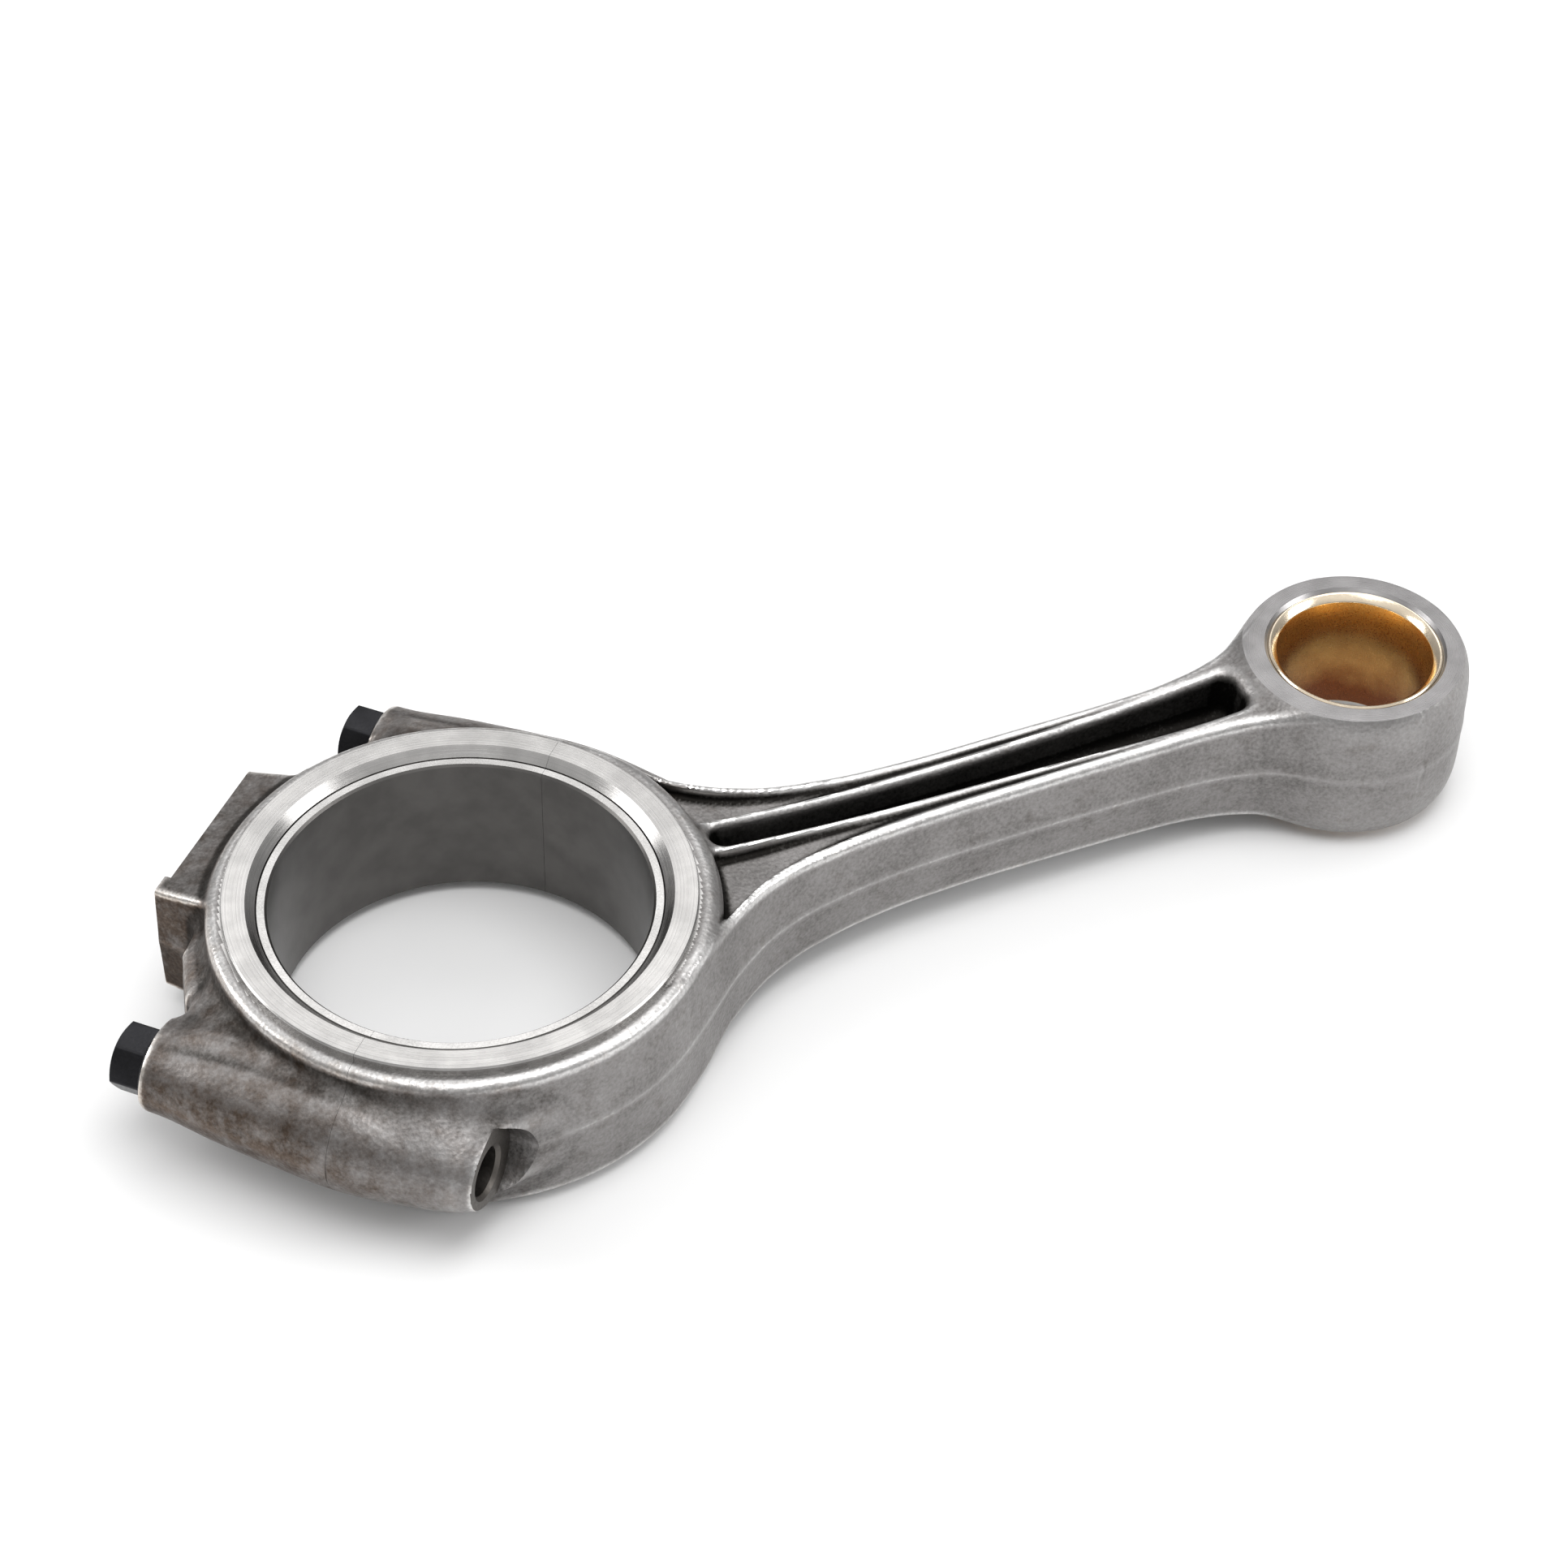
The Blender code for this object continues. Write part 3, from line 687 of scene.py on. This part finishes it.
def finish_forging(obj, solid, mats):
    """Gives each face of a machined forging its material, by where it lies."""
    mesh = obj.data
    wear_painted_light_and_skin_of(mesh, solid)
    mesh.materials.clear()
    for name in ("forged", "big_face", "hole", "joint", "small_face"):
        mesh.materials.append(mats[name])
    big_face, hole, joint, small_face = 1, 2, 3, 4
    count = len(mesh.polygons)
    centre = np.empty(count * 3)
    normal = np.empty(count * 3)
    mesh.polygons.foreach_get("center", centre)
    mesh.polygons.foreach_get("normal", normal)
    x, y, z = centre.reshape(-1, 3).T
    nx, ny, nz = normal.reshape(-1, 3).T
    n, across = to_split(x, y)
    facing = nx * SPLIT_COS + ny * SPLIT_SIN
    index = np.zeros(count, dtype=np.int32)
    radius = np.hypot(x, y)
    big = x < MIDDLE_X
    flat = np.abs(nz) > 0.99
    index[big & flat & (np.abs(z) > HALF_WIDTH - 0.02)] = big_face
    index[big & (radius < HOUSING_R + BORE_CHAMFER + 0.2)] = big_face
    index[(np.abs(radius - THRUST_R) < 0.4) & (np.abs(z) > LEDGE_Z)] = big_face
    index[~big & flat & (np.abs(z) > SMALL_HALF_WIDTH - 0.02)] = small_face
    index[np.hypot(x - CENTRES, y) < BUSH_R + 1.1] = small_face
    index[(np.abs(n) < 0.1) & (np.abs(facing) > 0.99)] = joint
    index[(n > PAD_N - PAD_STEP - 0.1) & (facing > 0.99)] = joint
    for side in SIDES.values():
        from_axis = np.hypot(across - side * BOLT_OFFSET, z)
        # holes and the spot face at the near boss's end take the dark hole steel: painted shade
        index[(from_axis < SLEEVE_HOLE_R + 0.1) & (n < SEAT_N + 0.1) & (n > BOSS_END_N - 1.0)] = hole
        index[(from_axis < SEAT_R + 0.1) & (np.abs(n - SEAT_N) < 0.05) & (facing > 0.99)] = big_face
        index[(from_axis < BOSS_FACE_R + 0.1) & (np.abs(n - BOSS_END_N) < 0.9) & (facing < -0.6)] = hole
    mesh.polygons.foreach_set("material_index", index)
    mesh.shade_smooth()
    mesh.set_sharp_from_angle(angle=SHARP)


def rod_body(mats):
    obj = mesh_solid("rod_forging", rod_forging, (-62.0, -68.0, -22.0), (236.0, 58.0, 22.0))
    machine(obj, rod_side=True)
    combine(obj, bore_cutter(BUSH_R, SMALL_HALF_WIDTH, 0.8, 128, CENTRES), "DIFFERENCE")
    finish_forging(obj, rod_forging, mats)
    return obj


def bearing_cap(mats):
    obj = mesh_solid("cap_forging", cap_forging, (-84.0, -54.0, -22.0), (56.0, 84.0, 22.0))
    machine(obj, rod_side=False)
    for depth, stop in ((0.0, 30.0), (PAD_STEP, PAD_STEP_Y)):
        mill = box("pad_face", (PAD_N - depth, -30.0, -30.0), (PAD_N + 20.0, stop, 30.0), TO_SPLIT)
        combine(obj, mill, "DIFFERENCE")
    finish_forging(obj, cap_forging, mats)
    return obj


def smooth_turned(obj, mat, edge_mat=None, edge_z=0.0):
    """Smooth shading and one material, or a second one on the faces further out than edge_z."""
    mesh = obj.data
    mesh.materials.clear()
    mesh.materials.append(mat)
    mesh.shade_smooth()
    mesh.set_sharp_from_angle(angle=SHARP)
    if edge_mat:
        mesh.materials.append(edge_mat)
        for face in mesh.polygons:
            if abs(face.center.z) > edge_z:
                face.material_index = 1


def bush(mats):
    edge = 1.5
    upper = [(PIN_R, BUSH_HALF - edge), (PIN_R + 0.2, BUSH_HALF - 0.8 * edge),
             (PIN_R + 0.9 * edge, BUSH_HALF - 0.1), (PIN_R + edge, BUSH_HALF),
             (BUSH_R - 0.35, BUSH_HALF), (BUSH_R - 0.05, BUSH_HALF - 0.3)]
    to_eye = Matrix.Translation((CENTRES, 0.0, 0.0))
    obj = turned("bronze_bush", mirrored(upper), 128, to_eye, closed=True)
    # the paler colour on the bush's ends is painted highlight
    smooth_turned(obj, mats["bronze"], mats["bronze_edge_painted_highlight"], BUSH_HALF - edge)
    return obj


def bearing_shell(name, rod_side, mats):
    edge = 0.5
    upper = [(SHELL_IN_R, SHELL_HALF - edge), (SHELL_IN_R + edge, SHELL_HALF), (SHELL_R - 0.3, SHELL_HALF),
             (SHELL_R, SHELL_HALF - 0.3)]
    obj = turned(name, mirrored(upper), 192, closed=True)
    cut_at_split(obj, rod_side)
    # the dark overlay colour is painted shade
    smooth_turned(obj, mats["overlay"], mats["shell_edge"], SHELL_HALF - 0.01)
    return obj


def thread(name, radius, depth, pitch, low, high):
    """A closed rod with a screw thread between low and high along Z."""
    around = 48
    rows_per_turn = 10
    rows = int(round((high - low) / pitch * rows_per_turn)) + 1
    angle = np.arange(around) / around * 2 * math.pi
    height = np.linspace(low, high, rows)
    phase = (height[:, None] / pitch - angle[None, :] / (2 * math.pi)) % 1.0
    wave = np.abs(phase - 0.5) * 2.0
    groove = np.clip(wave * 1.35 - 0.18, 0.0, 1.0)
    # the thread is shallower in its last turn at either end
    fade = np.clip(np.minimum(height - low, high - height) / (0.8 * pitch), 0.0, 1.0)[:, None]
    r = radius - depth * groove * (0.15 + 0.85 * fade) - depth * (1.0 - fade) * 0.8
    points = np.stack([r * np.cos(angle), r * np.sin(angle), np.repeat(height[:, None], around, 1)], axis=2)
    points = points.reshape(-1, 3)
    ends = np.array([[0.0, 0.0, low], [0.0, 0.0, high]])
    first = (np.arange(rows - 1)[:, None] * around + np.arange(around)[None, :]).ravel()
    after = (np.arange(rows - 1)[:, None] * around + (np.arange(around)[None, :] + 1) % around).ravel()
    quads = np.stack([first, after, after + around, first + around], axis=1)
    mesh = bpy.data.meshes.new(name)
    bottom = [[len(points), (i + 1) % around, i] for i in range(around)]
    base = (rows - 1) * around
    top = [[len(points) + 1, base + i, base + (i + 1) % around] for i in range(around)]
    mesh.from_pydata(np.concatenate([points, ends]).tolist(), [], quads.tolist() + bottom + top)
    return linked(name, mesh)


def cap_bolt(side, mats):
    """A flanged hexagon bolt with its thread; the flange sits on the cap's seat."""
    flange_r = 8.1
    flange = 1.6               # thickness of the flange
    head = 8.4                 # height of the head with its flange
    hex_r = 7.5                # across the hexagon's corners, halved
    fit_r = THREAD_R - 0.1     # fitted part of the shaft, under the head
    waist_r = THREAD_R - 0.7   # thinner part of the shaft
    length = SEAT_N - BOLT_TIP_N
    thread_start = -length + 34.0
    profile = [(0.0, flange + 0.2), (hex_r * 0.80, flange + 0.2), (flange_r - 0.9, flange - 0.35),
               (flange_r - 0.25, flange - 0.7), (flange_r, flange - 1.1), (flange_r, 0.35),
               (flange_r - 0.3, 0.05), (THREAD_R + 0.6, 0.05), (fit_r, -0.6), (fit_r, -14.0),
               (waist_r, -15.0), (waist_r, thread_start - 0.2), (0.0, thread_start - 0.2)]
    obj = turned(side + "_bolt", profile, 96)
    screw = thread(side + "_thread", THREAD_R, 0.85, 1.5, -length, thread_start)
    combine(obj, screw, "UNION")
    mesh = bpy.data.meshes.new("hexagon")
    bm = bmesh.new()
    bmesh.ops.create_cone(bm, cap_ends=True, segments=6, radius1=hex_r, radius2=hex_r, depth=head - 0.5,
                          matrix=Matrix.Translation((0.0, 0.0, (head + 0.5) / 2)))
    upright = [e for e in bm.edges if abs(e.verts[0].co.z - e.verts[1].co.z) > 1.0]
    bmesh.ops.bevel(bm, geom=upright, offset=0.35, segments=3, profile=0.5, affect="EDGES")
    bm.to_mesh(mesh)
    bm.free()
    hexagon = linked("hexagon", mesh)
    crown = [(0.0, head - 0.35), (3.4, head - 0.35), (3.8, head), (5.4, head), (6.0, head - 0.25),
             (hex_r + 0.4, head - 1.1), (hex_r + 0.4, -1.0), (0.0, -1.0)]
    combine(hexagon, turned("crown", crown, 96), "INTERSECT")
    combine(obj, hexagon, "UNION")
    obj.data.transform(along_bolt(side, SEAT_N))
    smooth_turned(obj, mats["black"])
    return obj


def dowel_sleeve(side, mats):
    """The thin sleeve round one bolt that lines the cap up with the rod."""
    upper = [(SLEEVE_R - 0.85, SLEEVE_HALF - 0.3), (SLEEVE_R - 0.6, SLEEVE_HALF),
             (SLEEVE_R - 0.3, SLEEVE_HALF), (SLEEVE_R, SLEEVE_HALF - 0.4)]
    obj = turned(side + "_sleeve", mirrored(upper), 64, along_bolt(side), closed=True)
    smooth_turned(obj, mats["ground"])
    return obj


def make_object():
    mats = {
        # darkest stops: painted shade in corners and the pocket; lightest: ridges, partly rubbing, partly
        # painted highlight
        "forged": forged_steel("forged_skin_painted_light",
                               [(0.012, 0.011, 0.010), (0.11, 0.105, 0.10), (0.255, 0.245, 0.24),
                                (0.36, 0.35, 0.345), (0.80, 0.79, 0.78)],
                               [(0.010, 0.008, 0.006), (0.024, 0.018, 0.014), (0.066, 0.048, 0.037),
                                (0.15, 0.116, 0.094), (0.62, 0.56, 0.50)], 0.45),
        "big_face": machined_steel("big_end_machined", (0.46, 0.45, 0.44), tuple(BIG_CENTRE), 0.22),
        "small_face": machined_steel("small_end_machined", (0.34, 0.33, 0.33), tuple(SMALL_CENTRE), 0.28),
        # the overlay's colour is darkened well below that of bearing metal: painted shade in the bore
        "overlay": machined_steel("shell_overlay", (0.125, 0.12, 0.115), tuple(BIG_CENTRE), 0.34),
        "shell_edge": plain_metal("shell_edge", (0.50, 0.49, 0.48), 0.25, 2600.0, 0.2),
        # the dark colour is painted shade at the lower end of the bush's bore
        "bronze": bronze("bush_bronze", (0.85, 0.55, 0.20), (0.20, 0.065, 0.02)),
        # the bush's end faces and chamfers get a paler cream colour: painted highlight
        "bronze_edge_painted_highlight": plain_metal("bush_edge_painted_highlight", (0.93, 0.80, 0.62), 0.18, 2600.0, 0.15),
        "black": plain_metal("black_oxide", (0.035, 0.035, 0.038), 0.34, 1800.0, 0.5),
        # the bolt holes and the near boss's end face are painted dark as shade
        "hole": plain_metal("bolt_hole", (0.12, 0.11, 0.10), 0.45, 1500.0, 0.5),
        "joint": plain_metal("joint_face", (0.55, 0.54, 0.53), 0.35, 900.0, 0.8),
        "ground": plain_metal("ground_sleeve", (0.6, 0.6, 0.6), 0.22, 2600.0, 0.2),
    }
    pieces = [
        (rod_body(mats), "rod_body", "rod", "forged_steel"),
        (bearing_cap(mats), "bearing_cap", "cap", "forged_steel"),
        (bush(mats), "small_end_bush", "rod", "bush_bronze"),
        (bearing_shell("upper_shell", True, mats), "rod_bearing_shell", "rod", "bearing_overlay"),
        (bearing_shell("lower_shell", False, mats), "cap_bearing_shell", "cap", "bearing_overlay"),
    ]
    for side in SIDES:
        pieces.append((cap_bolt(side, mats), side + "_cap_bolt", side + "_bolt", "black_bolt_steel"))
        pieces.append((dowel_sleeve(side, mats), side + "_dowel_sleeve", "rod", "ground_steel"))
    for obj, node, body, slot in pieces:
        place(obj)
        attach(obj, body)
        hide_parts(node)


# ---------------------------------------------------------------- studio

def floor():
    mesh = bpy.data.meshes.new("floor")
    reach = 3.0
    corners = [(-reach, -reach, 0.0), (reach, -reach, 0.0), (reach, reach, 0.0), (-reach, reach, 0.0)]
    mesh.from_pydata(corners, [], [(0, 1, 2, 3)])
    obj = linked("floor", mesh)
    obj.location.z = -0.0002
    mat, tree, shader = new_material("floor_paper", (0.82, 0.82, 0.82), 0.0, 0.85)
    mesh.materials.append(mat)


def softbox(name, where, target, size, power):
    light = bpy.data.lights.new(name, "AREA")
    light.shape = "RECTANGLE"
    light.size, light.size_y = size
    light.energy = power
    obj = linked(name, light)
    obj.location = where
    obj.rotation_euler = (Vector(target) - Vector(where)).to_track_quat("-Z", "Y").to_euler()


def sky():
    """Soft light from all round: dimmer at the horizon, so that edges turning away go dark."""
    world = bpy.data.worlds.new("studio")
    bpy.context.scene.world = world
    world.use_nodes = True
    tree = world.node_tree
    where = tree.nodes.new("ShaderNodeTexCoord").outputs["Generated"]
    parts = tree.nodes.new("ShaderNodeSeparateXYZ")
    tree.links.new(where, parts.inputs["Vector"])
    levels = ((0.0, 0.25), (0.42, 0.45), (0.72, 0.85), (1.0, 0.80))
    shade = ramp(tree, parts.outputs["Z"], [(height, (level, level, level)) for height, level in levels])
    background = tree.nodes["Background"]
    tree.links.new(shade, background.inputs["Color"])
    background.inputs["Strength"].default_value = 1.0


def studio():
    """Sky, a big soft light above, one behind, and one at each side of the view."""
    sky()
    softbox("top_light", (0.05, -0.2, 1.4), (0.0, 0.0, 0.0), (1.4, 0.8), 12.0)
    softbox("back_light", (0.45, 1.2, 1.55), (0.0, 0.0, 0.0), (1.6, 0.5), 4.0)
    softbox("left_light", (-0.95, 0.55, 0.55), (-0.06, 0.0, 0.02), (0.5, 0.6), 4.5)
    softbox("right_light", (1.0, -0.55, 0.62), (0.0, 0.0, 0.02), (0.5, 0.6), 4.5)


def camera():
    """The camera, placed in the rod's own frame: distance, angles and aim of the view."""
    azimuth, elevation, roll = (math.radians(v) for v in (-23.755, 43.82, 1.1723))
    distance = 0.830
    aim_right, aim_up = 0.06567, 0.03578
    back = Vector((math.sin(azimuth) * math.cos(elevation), -math.cos(azimuth) * math.cos(elevation),
                   math.sin(elevation)))
    right = Vector((0.0, 0.0, 1.0)).cross(back).normalized()
    up = back.cross(right)
    right, up = (right * math.cos(roll) + up * math.sin(roll), up * math.cos(roll) - right * math.sin(roll))
    data = bpy.data.cameras.new("camera")
    data.lens = 92.8
    data.sensor_width = 36.0
    obj = linked("camera", data)
    turn = Matrix((right, up, back)).transposed().to_4x4()
    eye_point = BIG_CENTRE + back * distance + right * aim_right + up * aim_up
    obj.matrix_world = Matrix.Translation(eye_point) @ turn
    bpy.context.scene.camera = obj


make_object()
floor()
studio()
camera()
bpy.context.scene.view_settings.view_transform = "Standard"
